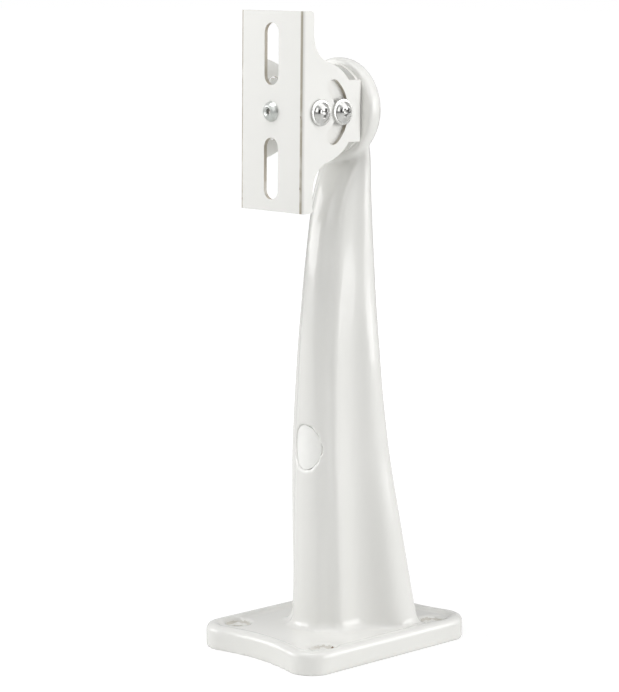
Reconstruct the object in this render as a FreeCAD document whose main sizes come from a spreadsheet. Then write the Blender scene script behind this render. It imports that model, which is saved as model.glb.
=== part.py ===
import FreeCAD, Part
import math
import os
import Sketcher

# Camera wall bracket: a cast arm stands on its wall plate, a bent yoke turns on the arm's
# round head, and a bent camera plate tilts between the yoke's ears.
# Frame: origin at the middle of the wall plate's underside, +Z along the arm, the head's
# axis along Y with the camera plate toward -Y, and everything mirrored about X = 0.

Vector = FreeCAD.Vector

SIZES = {
    # wall plate
    "plate_half_width": 33.1,
    "plate_half_length": 45.3,
    "plate_height": 9.3,
    "plate_corner": 10.4,
    "plate_dip": 3.3,
    "plate_edge_round": 2.4,
    "rim_width": 4.5,
    "rim_depth": 1.1,
    "plate_wall": 3.0,
    "plate_skin": 2.7,
    "wall_hole_x": 24.5,
    "wall_hole_y": 30.5,
    "wall_hole_radius": 2.75,
    "wall_sink_radius": 5.0,
    "wall_sink_depth": 2.0,
    "boss_radius": 6.5,
    # hollow arm
    "arm_wall": 2.5,
    "hollow_below_head": 48.5,
    "flute_depth": 0.45,
    "panel_depth": 0.9,
    "panel_fade": 10.0,
    "ridge_bulge": 0.25,
    "rear_round": 5.6,
    "rear_crown": 0.3,
    "rear_crown_side": 0.2,
    "cable_hole_height": 81.1,
    "cable_hole_width": 14.0,
    "cable_hole_length": 17.7,
    "cable_hole_reach": 12.3,
    "plug_inset": 0.7,
    "plug_skin": 1.6,
    "plug_fit": 0.05,
    "plug_back": 12.8,
    "nose_radius": 12.2,
    "nose_front": 18.3,
    # head
    "head_height": 212.5,
    "head_radius": 19.8,
    "head_front": 3.5,
    "head_thickness": 8.3,
    "head_front_round": 1.3,
    "head_back_round": 5.0,
    "head_recess_radius": 9.0,
    "head_web": 3.6,
    # pan bolt
    "pan_shank_radius": 2.95,
    "pan_bore_radius": 3.0,
    "pan_head_radius": 5.8,
    "pan_head_height": 3.9,
    "pan_head_round": 2.3,
    "pan_recess_width": 1.3,
    "pan_recess_length": 6.4,
    "pan_recess_depth": 2.0,
    "pan_washer_radius": 6.0,
    "pan_washer_bore": 3.2,
    "pan_washer_thickness": 1.2,
    "spring_washer_radius": 5.2,
    "spring_washer_bore": 3.1,
    "spring_washer_gap": 1.0,
    "spring_washer_thickness": 1.5,
    "pan_nut_flats": 10.0,
    "pan_nut_height": 5.0,
    "pan_bolt_end": 1.4,
    # sheet metal
    "sheet": 1.5,
    "yoke_disc_radius": 17.4,
    "yoke_half_height": 11.75,
    "yoke_bend": 2.6,
    "yoke_nose_radius": 5.6,
    "yoke_shoulder": 5.4,
    "ear_rear": 1.0,
    "bracket_half_width": 17.2,
    "bracket_half_length": 37.7,
    "bracket_strip": 5.6,
    "bracket_bend": 1.4,
    "bracket_bend_inside": 0.3,
    "bracket_corner": 1.2,
    "lobe_radius": 19.1,
    "lobe_root": 11.0,
    "pivot_behind_face": 9.1,
    "pivot_from_head": 24.3,
    "slot_width": 7.6,
    "slot_length": 23.3,
    "slot_middle": 21.55,
    "arc_radius": 11.45,
    "arc_width": 6.5,
    "arc_half_angle": 52.0,
    # cross-recessed screws with washers and nuts
    "screw_radius": 1.95,
    "screw_hole_radius": 2.0,
    "screw_head_radius": 4.1,
    "screw_head_height": 2.2,
    "screw_head_round": 1.9,
    "recess_width": 1.0,
    "recess_length": 4.6,
    "recess_depth": 1.4,
    "washer_radius": 5.0,
    "washer_thickness": 0.9,
    "washer_hole_radius": 2.15,
    "nut_flats": 7.0,
    "nut_height": 3.2,
    "screw_end": 0.8,
    # rivet in the camera plate
    "rivet_head_radius": 3.9,
    "rivet_head_height": 1.6,
    "rivet_head_round": 1.35,
    "rivet_shank_radius": 2.4,
    "rivet_tail_radius": 3.2,
    "rivet_tail_height": 1.8,
    "rivet_bore_radius": 1.1,
    "mandrel_depth": 0.9,
    # how far a cutting shape reaches past what it cuts
    "margin": 1.0,
}

# Outline of the arm at some stations: how far the nose, its corner, the side ridge and the rear
# reach from the arm's axis. The arm is mirrored about X = 0. The lowest stations have their height
# above the wall. The others have the share of the way that they stand at, from the foot to the
# middle of the head, so the arm keeps its shape when the head moves.
STATION_WORDS = ["height", "front", "corner_x", "corner_y", "ridge_x", "ridge_y", "back_x", "back_y",
                 "side", "rear"]
STATIONS = {
    "wall": (7.6, 20.6, 8.8, 18.8, 16.4, 13.0, 18.0, 2.1, 26.4, 25.6),
    "root": (9.6, 19.0, 7.7, 17.2, 14.4, 11.7, 15.8, 2.4, 25.6, 24.6),
    "foot": (12.0, 18.4, 7.3, 16.5, 13.4, 11.2, 15.0, 2.5, 25.1, 23.9),
    "shin": (0.0549, 18.2, 7.1, 16.4, 12.9, 11.2, 14.2, 2.9, 23.8, 22.1),
    "lower": (0.1845, 18.3, 6.7, 16.6, 12.6, 12.3, 13.5, 3.9, 21.0, 18.4),
    "cable": (0.3441, 18.3, 6.2, 16.8, 11.8, 13.4, 12.6, 5.1, 17.5, 14.3),
    "middle": (0.5037, 17.8, 4.3, 17.0, 10.4, 12.8, 12.1, 5.6, 15.9, 11.0),
    "upper": (0.6633, 15.7, 3.8, 15.0, 9.1, 10.9, 11.2, 4.8, 13.3, 10.0),
    "shoulder": (0.788, 12.5, 3.9, 11.9, 8.3, 8.4, 10.6, 3.4, 12.6, 8.6),
    "neck": (0.8529, 7.8, 4.3, 7.4, 8.4, 5.4, 10.6, 1.8, 12.3, 8.0),
    "collar": (0.8928, 2.7, 5.2, 2.6, 9.0, 1.8, 10.8, 0.4, 12.4, 7.6),
    "end": (0.9377, 2.5, 5.4, 2.4, 9.0, 1.7, 10.8, 0.2, 14.2, 4.4),
}
LOW_STATIONS = ("wall", "root", "foot")
# Where the points of an outline stand between those sizes, as shares of them.
NOSE_SHARE = 0.6
NOSE_DROP = 0.36
PANEL_LEAN = 0.6
SIDE_SHARE = 0.35
# Spacing of the loft's rings.
FIRST_STEP = 1.2
STEP_GROWTH = 1.3
LONGEST_STEP = 9.0

doc = FreeCAD.newDocument("camera_wall_bracket")
sheet = doc.addObject("Spreadsheet::Sheet", "sizes")


def fill_sheet():
    values = dict(SIZES)
    for station, numbers in STATIONS.items():
        values.update({"%s_%s" % (station, word): number for word, number in zip(STATION_WORDS, numbers)})
    for row, (name, value) in enumerate(values.items(), start=1):
        sheet.set("A%d" % row, name)
        sheet.set("B%d" % row, str(value))
        sheet.setAlias("B%d" % row, name)
    doc.recompute()


def size(name):
    return float(sheet.get(name))


def words(expression):
    """Put the sheet's name before each size that an expression uses."""
    text = str(expression)
    for name in sorted(SIZES, key=len, reverse=True):
        text = text.replace("{" + name + "}", "sizes." + name)
    return text


def bind(item, prop, expression):
    item.setExpression(prop, words(expression))


TURNS = {
    "X": FreeCAD.Rotation(Vector(0, 1, 0), 90),
    "Y": FreeCAD.Rotation(Vector(1, 0, 0), -90),
    "Z": FreeCAD.Rotation(),
    "oval": FreeCAD.Rotation(Vector(0, 1, 0), -90) * FreeCAD.Rotation(Vector(1, 0, 0), -90),
}


def put(item, at, axis="Z"):
    """Stand an object at a point given as expressions, its own Z turned along an axis."""
    item.Placement = FreeCAD.Placement(Vector(), TURNS[axis])
    for letter, expression in zip("xyz", at):
        bind(item, "Placement.Base." + letter, expression)
    return item


def cylinder(name, radius, height, at, axis="Z"):
    item = doc.addObject("Part::Cylinder", name)
    bind(item, "Radius", radius)
    bind(item, "Height", height)
    return put(item, at, axis)


def box(name, length, width, height, at):
    item = doc.addObject("Part::Box", name)
    bind(item, "Length", length)
    bind(item, "Width", width)
    bind(item, "Height", height)
    return put(item, at)


def fuse(name, items):
    item = doc.addObject("Part::MultiFuse", name)
    item.Shapes = items
    item.Refine = True
    return item


def cut(name, base, tools):
    item = doc.addObject("Part::Cut", name)
    item.Base = base
    item.Tool = tools[0] if len(tools) == 1 else fuse(name + "_tools", tools)
    item.Refine = True
    return item


def common(name, items):
    item = doc.addObject("Part::MultiCommon", name)
    item.Shapes = items
    item.Refine = True
    return item


def fillet(name, base, radius, chosen):
    """Round the edges of a base for which chosen(edge) is true."""
    doc.recompute()
    item = doc.addObject("Part::Fillet", name)
    item.Base = base
    edges = [i for i, edge in enumerate(base.Shape.Edges, start=1) if chosen(edge)]
    if not edges:
        raise RuntimeError("no edge to round in " + name)
    item.Edges = [(i, radius, radius) for i in edges]
    return item


def middle(edge):
    return edge.BoundBox.Center


def runs_along(edge, axis):
    """Is this a straight edge along one axis?"""
    if edge.Curve.TypeId != "Part::GeomLine":
        return False
    lengths = {"X": edge.BoundBox.XLength, "Y": edge.BoundBox.YLength, "Z": edge.BoundBox.ZLength}
    return lengths[axis] > 0.99 * edge.Length


def near(value, target, gap=0.05):
    return abs(value - target) < gap


def origin_plane(body, role):
    return next(f for f in body.Origin.OriginFeatures if f.Role == role)


def slot_tool(name, width, length, depth, at):
    """A straight slot with round ends, long along Z, cut along Y."""
    x, y, z = at
    half = "(%s - %s) / 2" % (length, width)
    ends = [cylinder("%s_end_%d" % (name, i), width + " / 2", depth,
                     (x, y, "%s %s %s" % (z, sign, half)), "Y") for i, sign in enumerate("+-")]
    body = box(name + "_middle", width, depth, "%s - %s" % (length, width),
               ("%s - %s / 2" % (x, width), y, "%s - %s" % (z, half)))
    return fuse(name, ends + [body])


def oval_tool(name, width, length, depth, at):
    """An elliptical prism, long along Z, that reaches along Y."""
    ellipse = doc.addObject("Part::Ellipse", name + "_outline")
    bind(ellipse, "MajorRadius", length + " / 2")
    bind(ellipse, "MinorRadius", width + " / 2")
    put(ellipse, at, "oval")
    prism = doc.addObject("Part::Extrusion", name)
    prism.Base = ellipse
    prism.DirMode = "Custom"
    prism.Dir = Vector(0, 1, 0)
    bind(prism, "LengthFwd", depth)
    prism.Solid = True
    return prism


def plate_outline(body, name, inset):
    """The wall plate's outline: straight long sides, round corners, short sides that dip in."""
    sketch = body.newObject("Sketcher::SketchObject", name)
    sketch.AttachmentSupport = [(origin_plane(body, "XY_Plane"), "")]
    sketch.MapMode = "FlatFace"
    shrink = size(inset) if inset else 0.0
    minus = " - {%s}" % inset if inset else ""
    plus = " + {%s}" % inset if inset else ""
    corner = size("plate_corner")
    middle_x = size("plate_half_width") - corner
    middle_y = size("plate_half_length") - corner
    # The dip's arc touches both corner arcs from outside, and its lowest point is the dip.
    drop = corner - size("plate_dip")
    dip = (middle_x ** 2 + drop ** 2 - corner ** 2) / (2 * (corner - drop))
    centre_y = middle_y + drop + dip
    lean = math.atan2(centre_y - middle_y, middle_x)
    r = corner - shrink
    big = dip + shrink
    up = Vector(0, 0, 1)
    flat = middle_x + r
    quarter = math.pi / 2
    arcs = [
        Part.ArcOfCircle(Part.Circle(Vector(middle_x, middle_y, 0), up, r), 0, math.pi - lean),
        Part.ArcOfCircle(Part.Circle(Vector(0, centre_y, 0), up, big), math.pi + lean, 2 * math.pi - lean),
        Part.ArcOfCircle(Part.Circle(Vector(-middle_x, middle_y, 0), up, r), lean, math.pi),
        Part.ArcOfCircle(Part.Circle(Vector(-middle_x, -middle_y, 0), up, r), math.pi, 4 * quarter - lean),
        Part.ArcOfCircle(Part.Circle(Vector(0, -centre_y, 0), up, big), lean, math.pi - lean),
        Part.ArcOfCircle(Part.Circle(Vector(middle_x, -middle_y, 0), up, r), math.pi + lean, 4 * quarter),
    ]
    lines = [
        Part.LineSegment(Vector(-flat, middle_y, 0), Vector(-flat, -middle_y, 0)),
        Part.LineSegment(Vector(flat, -middle_y, 0), Vector(flat, middle_y, 0)),
    ]
    ne, north, nw, sw, south, se = [sketch.addGeometry(a, False) for a in arcs]
    west, east = [sketch.addGeometry(s, False) for s in lines]
    start, end, centre = 1, 2, 3
    axis_y = -2
    add = sketch.addConstraint
    joins = [(east, end, ne, start), (ne, end, north, end), (north, start, nw, start), (nw, end, west, start),
             (west, end, sw, start), (sw, end, south, end), (south, start, se, start), (se, end, east, start)]
    for first, at_first, second, at_second in joins:
        add(Sketcher.Constraint("Tangent", first, at_first, second, at_second))
    for other in (nw, sw, se):
        add(Sketcher.Constraint("Equal", ne, other))
    add(Sketcher.Constraint("Equal", north, south))
    add(Sketcher.Constraint("Symmetric", ne, centre, nw, centre, axis_y))
    add(Sketcher.Constraint("Symmetric", ne, centre, sw, centre, -1, 1))
    driven = [
        (Sketcher.Constraint("Radius", ne, r), "{plate_corner}" + minus),
        (Sketcher.Constraint("DistanceX", -1, 1, ne, centre, middle_x),
         "{plate_half_width} - {plate_corner}"),
        (Sketcher.Constraint("DistanceY", -1, 1, ne, centre, middle_y),
         "{plate_half_length} - {plate_corner}"),
        (Sketcher.Constraint("Radius", north, big),
         "(({plate_half_width} - {plate_corner})^2 + ({plate_corner} - {plate_dip})^2 - {plate_corner}^2)"
         " / (2 * {plate_dip})" + plus),
    ]
    for constraint, expression in driven:
        number = add(constraint)
        bind(sketch, "Constraints[%d]" % number, expression)
    doc.recompute()
    return sketch


def wall_plate():
    body = doc.addObject("PartDesign::Body", "wall_plate_body")
    pad = body.newObject("PartDesign::Pad", "plate_pad")
    pad.Profile = plate_outline(body, "plate_sketch", None)
    bind(pad, "Length", "{plate_height}")
    body.Tip = pad
    doc.recompute()
    top = size("plate_height")
    rounded = body.newObject("PartDesign::Fillet", "plate_edge")
    names = ["Edge%d" % i for i, e in enumerate(pad.Shape.Edges, start=1)
             if near(e.BoundBox.ZMin, top) and near(e.BoundBox.ZMax, top)]
    rounded.Base = (pad, names)
    bind(rounded, "Radius", "{plate_edge_round}")
    doc.recompute()
    valley_sketch = plate_outline(body, "valley_sketch", "rim_width")
    bind(valley_sketch, "AttachmentOffset.Base.z", "{plate_height}")
    valley = body.newObject("PartDesign::Pocket", "valley")
    valley.Profile = valley_sketch
    bind(valley, "Length", "{rim_depth}")
    doc.recompute()
    under_sketch = plate_outline(body, "underside_sketch", "plate_wall")
    under = body.newObject("PartDesign::Pocket", "underside")
    under.Profile = under_sketch
    under.Reversed = True
    bind(under, "Length", "{plate_height} - {rim_depth} - {plate_skin}")
    doc.recompute()
    return body


def gentle_slopes(xs, ys):
    """Slopes of a smooth curve through points that never swings past them."""
    steps = [(y2 - y1) / (x2 - x1) for x1, x2, y1, y2 in zip(xs, xs[1:], ys, ys[1:])]
    inner = [0.0 if a * b <= 0 else 2 * a * b / (a + b) for a, b in zip(steps, steps[1:])]
    return [steps[0]] + inner + [steps[-1]]


def station_height(station):
    """A station's height above the wall."""
    given = size(station + "_height")
    if station in LOW_STATIONS:
        return given
    foot = size("foot_height")
    return foot + given * (size("head_height") - foot)


def station_at(height):
    """All sizes of the arm's outline at one height, from the stations round it."""
    rows = [[station_height(station)] + [size("%s_%s" % (station, word)) for word in STATION_WORDS[1:]]
            for station in STATIONS]
    xs = [row[0] for row in rows]
    i = max(k for k in range(len(xs) - 1) if xs[k] <= height + 1e-9)
    width = xs[i + 1] - xs[i]
    u = (height - xs[i]) / width
    values = [height]
    for column in range(1, len(STATION_WORDS)):
        ys = [row[column] for row in rows]
        slopes = gentle_slopes(xs, ys)
        start = (1 + 2 * u) * (1 - u) ** 2 * ys[i] + u * (1 - u) ** 2 * width * slopes[i]
        finish = u * u * (3 - 2 * u) * ys[i + 1] + u * u * (u - 1) * width * slopes[i + 1]
        values.append(start + finish)
    return values


def ring_heights(bottom, top):
    """Heights of the loft's rings: close together at the foot, then evenly spaced."""
    heights = [bottom]
    step = FIRST_STEP
    while heights[-1] + step < top:
        heights.append(heights[-1] + step)
        step = min(step * STEP_GROWTH, LONGEST_STEP)
    scale = (top - bottom) / (heights[-1] + step - bottom)
    heights = [bottom + (h - bottom) * scale for h in heights]
    return heights + [top]


def half_section(station):
    """Points of the arm's outline on the +X side, from the nose round to the rear."""
    _, front, cx, cy, rx, ry, bx, by, side, rear = station
    flute = Vector((cx + rx) / 2, -(cy + ry) / 2, 0)
    across = Vector(rx - cx, cy - ry, 0).normalize()
    flute = flute + Vector(-across.y, across.x, 0) * size("flute_depth")
    rear_round = size("rear_round")
    round_x = side - rear_round
    round_y = rear - rear_round
    side_start = Vector(side, round_y - SIDE_SHARE * (round_y + by), 0)
    panel = (Vector(bx, -by, 0) + side_start) / 2
    hollow = size("panel_depth") * (side - bx) / size("panel_fade")
    panel = panel + Vector(-1, PANEL_LEAN, 0).normalize() * hollow
    corner_mid = Vector(round_x, round_y, 0) + Vector(1, 1, 0).normalize() * rear_round
    return [
        Vector(0, -front, 0),
        Vector(cx * NOSE_SHARE, -front + NOSE_DROP * (front - cy), 0),
        Vector(cx, -cy, 0),
        flute,
        Vector(rx, -ry, 0),
        Vector((rx + bx) / 2 + size("ridge_bulge"), -(ry + by) / 2, 0),
        Vector(bx, -by, 0),
        panel,
        side_start,
        corner_mid,
        Vector(round_x, rear, 0),
        Vector(round_x / 2, rear + size("rear_crown_side"), 0),
    ]


def section_points(station):
    half = half_section(station)
    rear = Vector(0, station[-1] + size("rear_crown"), 0)
    mirrored = [Vector(-p.x, p.y, 0) for p in reversed(half[1:])]
    return half + [rear] + mirrored


def inward(points, distance):
    """The same closed outline moved inward by a wall's thickness."""
    moved = []
    count = len(points)
    for i, point in enumerate(points):
        along = points[(i + 1) % count] - points[i - 1]
        normal = Vector(-along.y, along.x, 0).normalize()
        moved.append(point + normal * distance)
    return moved


def section_wire(points, height):
    curve = Part.BSplineCurve()
    curve.interpolate([Vector(p.x, p.y, height) for p in points], PeriodicFlag=True)
    return Part.Wire([curve.toShape()])


def arm_skin():
    item = doc.addObject("Part::Feature", "arm_skin")
    rings = [station_at(h) for h in ring_heights(station_height("wall"), station_height("end"))]
    item.Shape = Part.makeLoft([section_wire(section_points(r), r[0]) for r in rings], True)
    return item


def arm_hollow():
    """The cable way inside the arm, open at the wall."""
    item = doc.addObject("Part::Feature", "arm_hollow")
    wall = size("arm_wall")
    start = size("foot_height")
    wires = [section_wire(inward(section_points(station_at(start)), wall), -size("margin"))]
    top = size("head_height") - size("hollow_below_head")
    rings = [station_at(h) for h in ring_heights(start, top)]
    wires += [section_wire(inward(section_points(r), wall), r[0]) for r in rings]
    item.Shape = Part.makeLoft(wires, True)
    return item


def corner_places(name, make):
    return [make("%s_%d" % (name, i), sx, sy) for i, (sx, sy) in
            enumerate([("", ""), ("-", ""), ("-", "-"), ("", "-")], start=1)]


def arm_casting():
    head = cylinder("head_disc", "{head_radius}", "{head_thickness}",
                    ("0", "-{head_front}", "{head_height}"), "Y")
    front = -size("head_front")
    rounded = fillet("head_front_edge", head, size("head_front_round"),
                     lambda e: near(e.BoundBox.YMin, front) and near(e.BoundBox.YMax, front))
    back = front + size("head_thickness")
    rounded = fillet("head_edges", rounded, size("head_back_round"),
                     lambda e: near(e.BoundBox.YMin, back) and near(e.BoundBox.YMax, back))
    bosses = corner_places("boss", lambda name, sx, sy: cylinder(
        name, "{boss_radius}", "{plate_height} - {rim_depth} - {margin}",
        (sx + "{wall_hole_x}", sy + "{wall_hole_y}", "0")))
    arm_and_head = fuse("arm_and_head", [arm_skin(), rounded])
    outside = fuse("casting_outside", [wall_plate(), arm_and_head] + bosses)
    holes = corner_places("wall_hole", lambda name, sx, sy: cylinder(
        name, "{wall_hole_radius}", "{plate_height} + 2 * {margin}",
        (sx + "{wall_hole_x}", sy + "{wall_hole_y}", "-{margin}")))
    # Each screw's head is let into the valley floor.
    sinks = corner_places("wall_sink", lambda name, sx, sy: cylinder(
        name, "{wall_sink_radius}", "{rim_depth} + {wall_sink_depth}",
        (sx + "{wall_hole_x}", sy + "{wall_hole_y}", "{plate_height} - {rim_depth} - {wall_sink_depth}")))
    cable_hole = oval_tool("cable_hole", "{cable_hole_width}", "{cable_hole_length}", "{cable_hole_reach}",
                           ("0", "-{nose_front} - {margin}", "{cable_hole_height}"))
    bore = cylinder("pan_bore", "{pan_bore_radius}", "{head_thickness} + 2 * {margin}",
                    ("0", "-{head_front} - {margin}", "{head_height}"), "Y")
    recess = cylinder("nut_recess", "{head_recess_radius}", "{head_thickness}",
                      ("0", "-{head_front} + {head_web}", "{head_height}"), "Y")
    return cut("arm_casting", outside, [arm_hollow(), cable_hole, bore, recess] + holes + sinks)


def cable_hole_plug():
    """A thin plug pressed into the cable hole, its face set in and curved as the nose is."""
    width = "({cable_hole_width} - 2 * {plug_fit})"
    length = "({cable_hole_length} - 2 * {plug_fit})"
    blank = oval_tool("plug_blank", width, length, "{nose_front} - {plug_back}",
                      ("0", "-{nose_front}", "{cable_hole_height}"))
    tall = "{cable_hole_length} + 2 * {margin}"
    axis_at = ("0", "{nose_radius} - {nose_front}",
               "{cable_hole_height} - {cable_hole_length} / 2 - {margin}")
    face = cylinder("plug_face", "{nose_radius} - {plug_inset}", tall, axis_at)
    inside = oval_tool("plug_inside", "(%s - 2 * {plug_skin})" % width, "(%s - 2 * {plug_skin})" % length,
                       "{nose_front} - {plug_back} + {margin}", ("0", "-{nose_front}", "{cable_hole_height}"))
    behind = cylinder("plug_behind", "{nose_radius} - {plug_inset} - {plug_skin}", tall, axis_at)
    solid = common("plug_solid", [blank, face])
    return cut("cable_hole_plug", solid, [common("plug_hollow", [inside, behind])])


def tube(name, outer, inner, length, at, axis):
    ring = cylinder(name + "_disc", outer, length, at, axis)
    hole = cylinder(name + "_hole", inner, length, at, axis)
    return cut(name, ring, [hole])


def hexagon(name, flats, bore, height, at, axis):
    prism = doc.addObject("Part::Prism", name + "_prism")
    prism.Polygon = 6
    bind(prism, "Circumradius", flats + " / 2 / cos(30 deg)")
    bind(prism, "Height", height)
    put(prism, at, axis)
    return cut(name, prism, [cylinder(name + "_bore", bore, height, at, axis)])


def pan_fasteners():
    """Bolt, washers and nut that hold the yoke against the head, stacked from front to back."""
    seat = "-{head_front} - {sheet}"
    web_back = "-{head_front} + {head_web}"
    height = "{head_height}"
    head = cylinder("pan_head", "{pan_head_radius}", "{pan_head_height}",
                    ("0", seat + " - {pan_head_height}", height), "Y")
    top = -size("head_front") - size("sheet") - size("pan_head_height")
    head = fillet("pan_head_dome", head, size("pan_head_round"),
                  lambda e: near(e.BoundBox.YMin, top) and near(e.BoundBox.YMax, top))
    length = "{head_web} + {sheet} + {pan_washer_thickness} + {spring_washer_thickness} + {pan_nut_height}"
    shank = cylinder("pan_shank", "{pan_shank_radius}", length + " + {pan_bolt_end}",
                     ("0", seat, height), "Y")
    wide = "{pan_recess_length}"
    thin = "{pan_recess_width}"
    blades = [box("pan_blade_" + way, across, "{pan_recess_depth}", up,
                  ("-%s / 2" % across, seat + " - {pan_head_height}", "%s - %s / 2" % (height, up)))
              for way, across, up in (("across", wide, thin), ("up", thin, wide))]
    bolt = cut("pan_bolt", fuse("pan_bolt_solid", [head, shank]), blades)
    washer = tube("pan_washer", "{pan_washer_radius}", "{pan_washer_bore}", "{pan_washer_thickness}",
                  ("0", web_back, height), "Y")
    spring_at = web_back + " + {pan_washer_thickness}"
    ring = tube("spring_ring", "{spring_washer_radius}", "{spring_washer_bore}", "{spring_washer_thickness}",
                ("0", spring_at, height), "Y")
    split = box("spring_gap", "{spring_washer_gap}", "{spring_washer_thickness}",
                "{spring_washer_radius} + {margin}", ("-{spring_washer_gap} / 2", spring_at, height))
    spring = cut("pan_spring_washer", ring, [split])
    nut = hexagon("pan_nut", "{pan_nut_flats}", "{pan_shank_radius}", "{pan_nut_height}",
                  ("0", spring_at + " + {spring_washer_thickness}", height), "Y")
    return [bolt, washer, spring, nut]


PIVOT_Y = "(-{head_front} - {pivot_from_head})"
FACE_Y = "(-{head_front} - {pivot_from_head} - {pivot_behind_face})"
YOKE_OUT = "({bracket_half_width} - {sheet})"


def ear_outline(body):
    """Side view of the yoke's ear: full height at the disc, round nose about the pivot."""
    sketch = body.newObject("Sketcher::SketchObject", "ear_sketch")
    sketch.AttachmentSupport = [(origin_plane(body, "YZ_Plane"), "")]
    sketch.MapMode = "FlatFace"
    pivot = Vector(-size("head_front") - size("pivot_from_head"), size("head_height"), 0)
    nose = size("yoke_nose_radius")
    tall = size("yoke_half_height")
    shoulder = pivot + Vector(size("yoke_shoulder"), tall, 0)
    reach = math.hypot(shoulder.x - pivot.x, tall)
    touch = math.atan2(tall, shoulder.x - pivot.x) + math.acos(nose / reach)
    rear = size("ear_rear")
    on_nose = pivot + Vector(math.cos(touch), math.sin(touch), 0) * nose
    top_rear = Vector(rear, pivot.y + tall, 0)
    upper = (on_nose, shoulder, top_rear)
    low_nose, low_shoulder, low_rear = [Vector(p.x, 2 * pivot.y - p.y, 0) for p in upper]
    round_nose = Part.Circle(pivot, Vector(0, 0, 1), nose)
    arc = sketch.addGeometry(Part.ArcOfCircle(round_nose, touch, 2 * math.pi - touch), False)
    sides = [(shoulder, on_nose), (top_rear, shoulder), (low_rear, top_rear),
             (low_shoulder, low_rear), (low_nose, low_shoulder)]
    slope, top, back, bottom, low_slope = [
        sketch.addGeometry(Part.LineSegment(start, end), False) for start, end in sides]
    add = sketch.addConstraint
    add(Sketcher.Constraint("Tangent", slope, 2, arc, 1))
    add(Sketcher.Constraint("Tangent", arc, 2, low_slope, 1))
    add(Sketcher.Constraint("Coincident", top, 2, slope, 1))
    add(Sketcher.Constraint("Coincident", back, 2, top, 1))
    add(Sketcher.Constraint("Coincident", bottom, 2, back, 1))
    add(Sketcher.Constraint("Coincident", low_slope, 2, bottom, 1))
    for line in (top, bottom):
        add(Sketcher.Constraint("Horizontal", line))
    add(Sketcher.Constraint("Vertical", back))
    driven = [
        (Sketcher.Constraint("Radius", arc, nose), "{yoke_nose_radius}"),
        (Sketcher.Constraint("DistanceY", -1, 1, arc, 3, pivot.y), "{head_height}"),
        (Sketcher.Constraint("DistanceX", arc, 3, -1, 1, -pivot.x), "{head_front} + {pivot_from_head}"),
        (Sketcher.Constraint("DistanceY", arc, 3, top, 1, tall), "{yoke_half_height}"),
        (Sketcher.Constraint("DistanceY", bottom, 1, arc, 3, tall), "{yoke_half_height}"),
        (Sketcher.Constraint("DistanceX", arc, 3, top, 2, shoulder.x - pivot.x), "{yoke_shoulder}"),
        (Sketcher.Constraint("DistanceX", arc, 3, bottom, 1, shoulder.x - pivot.x), "{yoke_shoulder}"),
        (Sketcher.Constraint("DistanceX", -1, 1, top, 1, rear), "{ear_rear}"),
    ]
    for constraint, expression in driven:
        bind(sketch, "Constraints[%d]" % add(constraint), expression)
    doc.recompute()
    return sketch


def swivel_yoke():
    body = doc.addObject("PartDesign::Body", "ear_body")
    pad = body.newObject("PartDesign::Pad", "ear_pad")
    pad.Profile = ear_outline(body)
    pad.Midplane = True
    bind(pad, "Length", "2 * " + YOKE_OUT)
    doc.recompute()
    tall = "2 * {yoke_half_height} + 2 * {margin}"
    low = "{head_height} - {yoke_half_height} - {margin}"
    reach = "{pivot_from_head} + {yoke_nose_radius} + 2 * {margin}"
    outer = box("yoke_outer", "2 * " + YOKE_OUT, reach, tall,
                ("-" + YOKE_OUT, "-{head_front} - (%s)" % reach, low))
    plane = -size("head_front")
    outer = fillet("yoke_outer_bend", outer, size("yoke_bend"),
                   lambda e: runs_along(e, "Z") and near(middle(e).y, plane))
    inner = box("yoke_inner", "2 * (%s - {sheet})" % YOKE_OUT, reach, tall,
                ("-(%s - {sheet})" % YOKE_OUT, "-{head_front} - {sheet} - (%s)" % reach, low))
    inner_plane = plane - size("sheet")
    inner = fillet("yoke_inner_bend", inner, size("yoke_bend") - size("sheet"),
                   lambda e: runs_along(e, "Z") and near(middle(e).y, inner_plane))
    channel = cut("yoke_channel", outer, [inner])
    ears = common("yoke_ears", [channel, body])
    disc = cylinder("yoke_disc", "{yoke_disc_radius}", "{sheet}",
                    ("0", "-{head_front} - {sheet}", "{head_height}"), "Y")
    trim = box("yoke_trim", "2 * %s - 2 * {yoke_bend}" % YOKE_OUT, "{sheet}", "2 * {yoke_disc_radius}",
               ("-%s + {yoke_bend}" % YOKE_OUT, "-{head_front} - {sheet}",
                "{head_height} - {yoke_disc_radius}"))
    flat = common("yoke_flat", [disc, trim])
    holes = [
        cylinder("yoke_pan_hole", "{pan_bore_radius}", "{sheet} + 2 * {margin}",
                 ("0", "-{head_front} - {sheet} - {margin}", "{head_height}"), "Y"),
        cylinder("yoke_pivot_hole", "{screw_hole_radius}", "2 * %s + 2 * {margin}" % YOKE_OUT,
                 ("-%s - {margin}" % YOKE_OUT, PIVOT_Y, "{head_height}"), "X"),
        cylinder("yoke_clamp_hole", "{screw_hole_radius}", "2 * %s + 2 * {margin}" % YOKE_OUT,
                 ("-%s - {margin}" % YOKE_OUT, PIVOT_Y + " + {arc_radius}", "{head_height}"), "X"),
    ]
    return cut("swivel_yoke", fuse("yoke_solid", [ears, flat]), holes)


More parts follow.
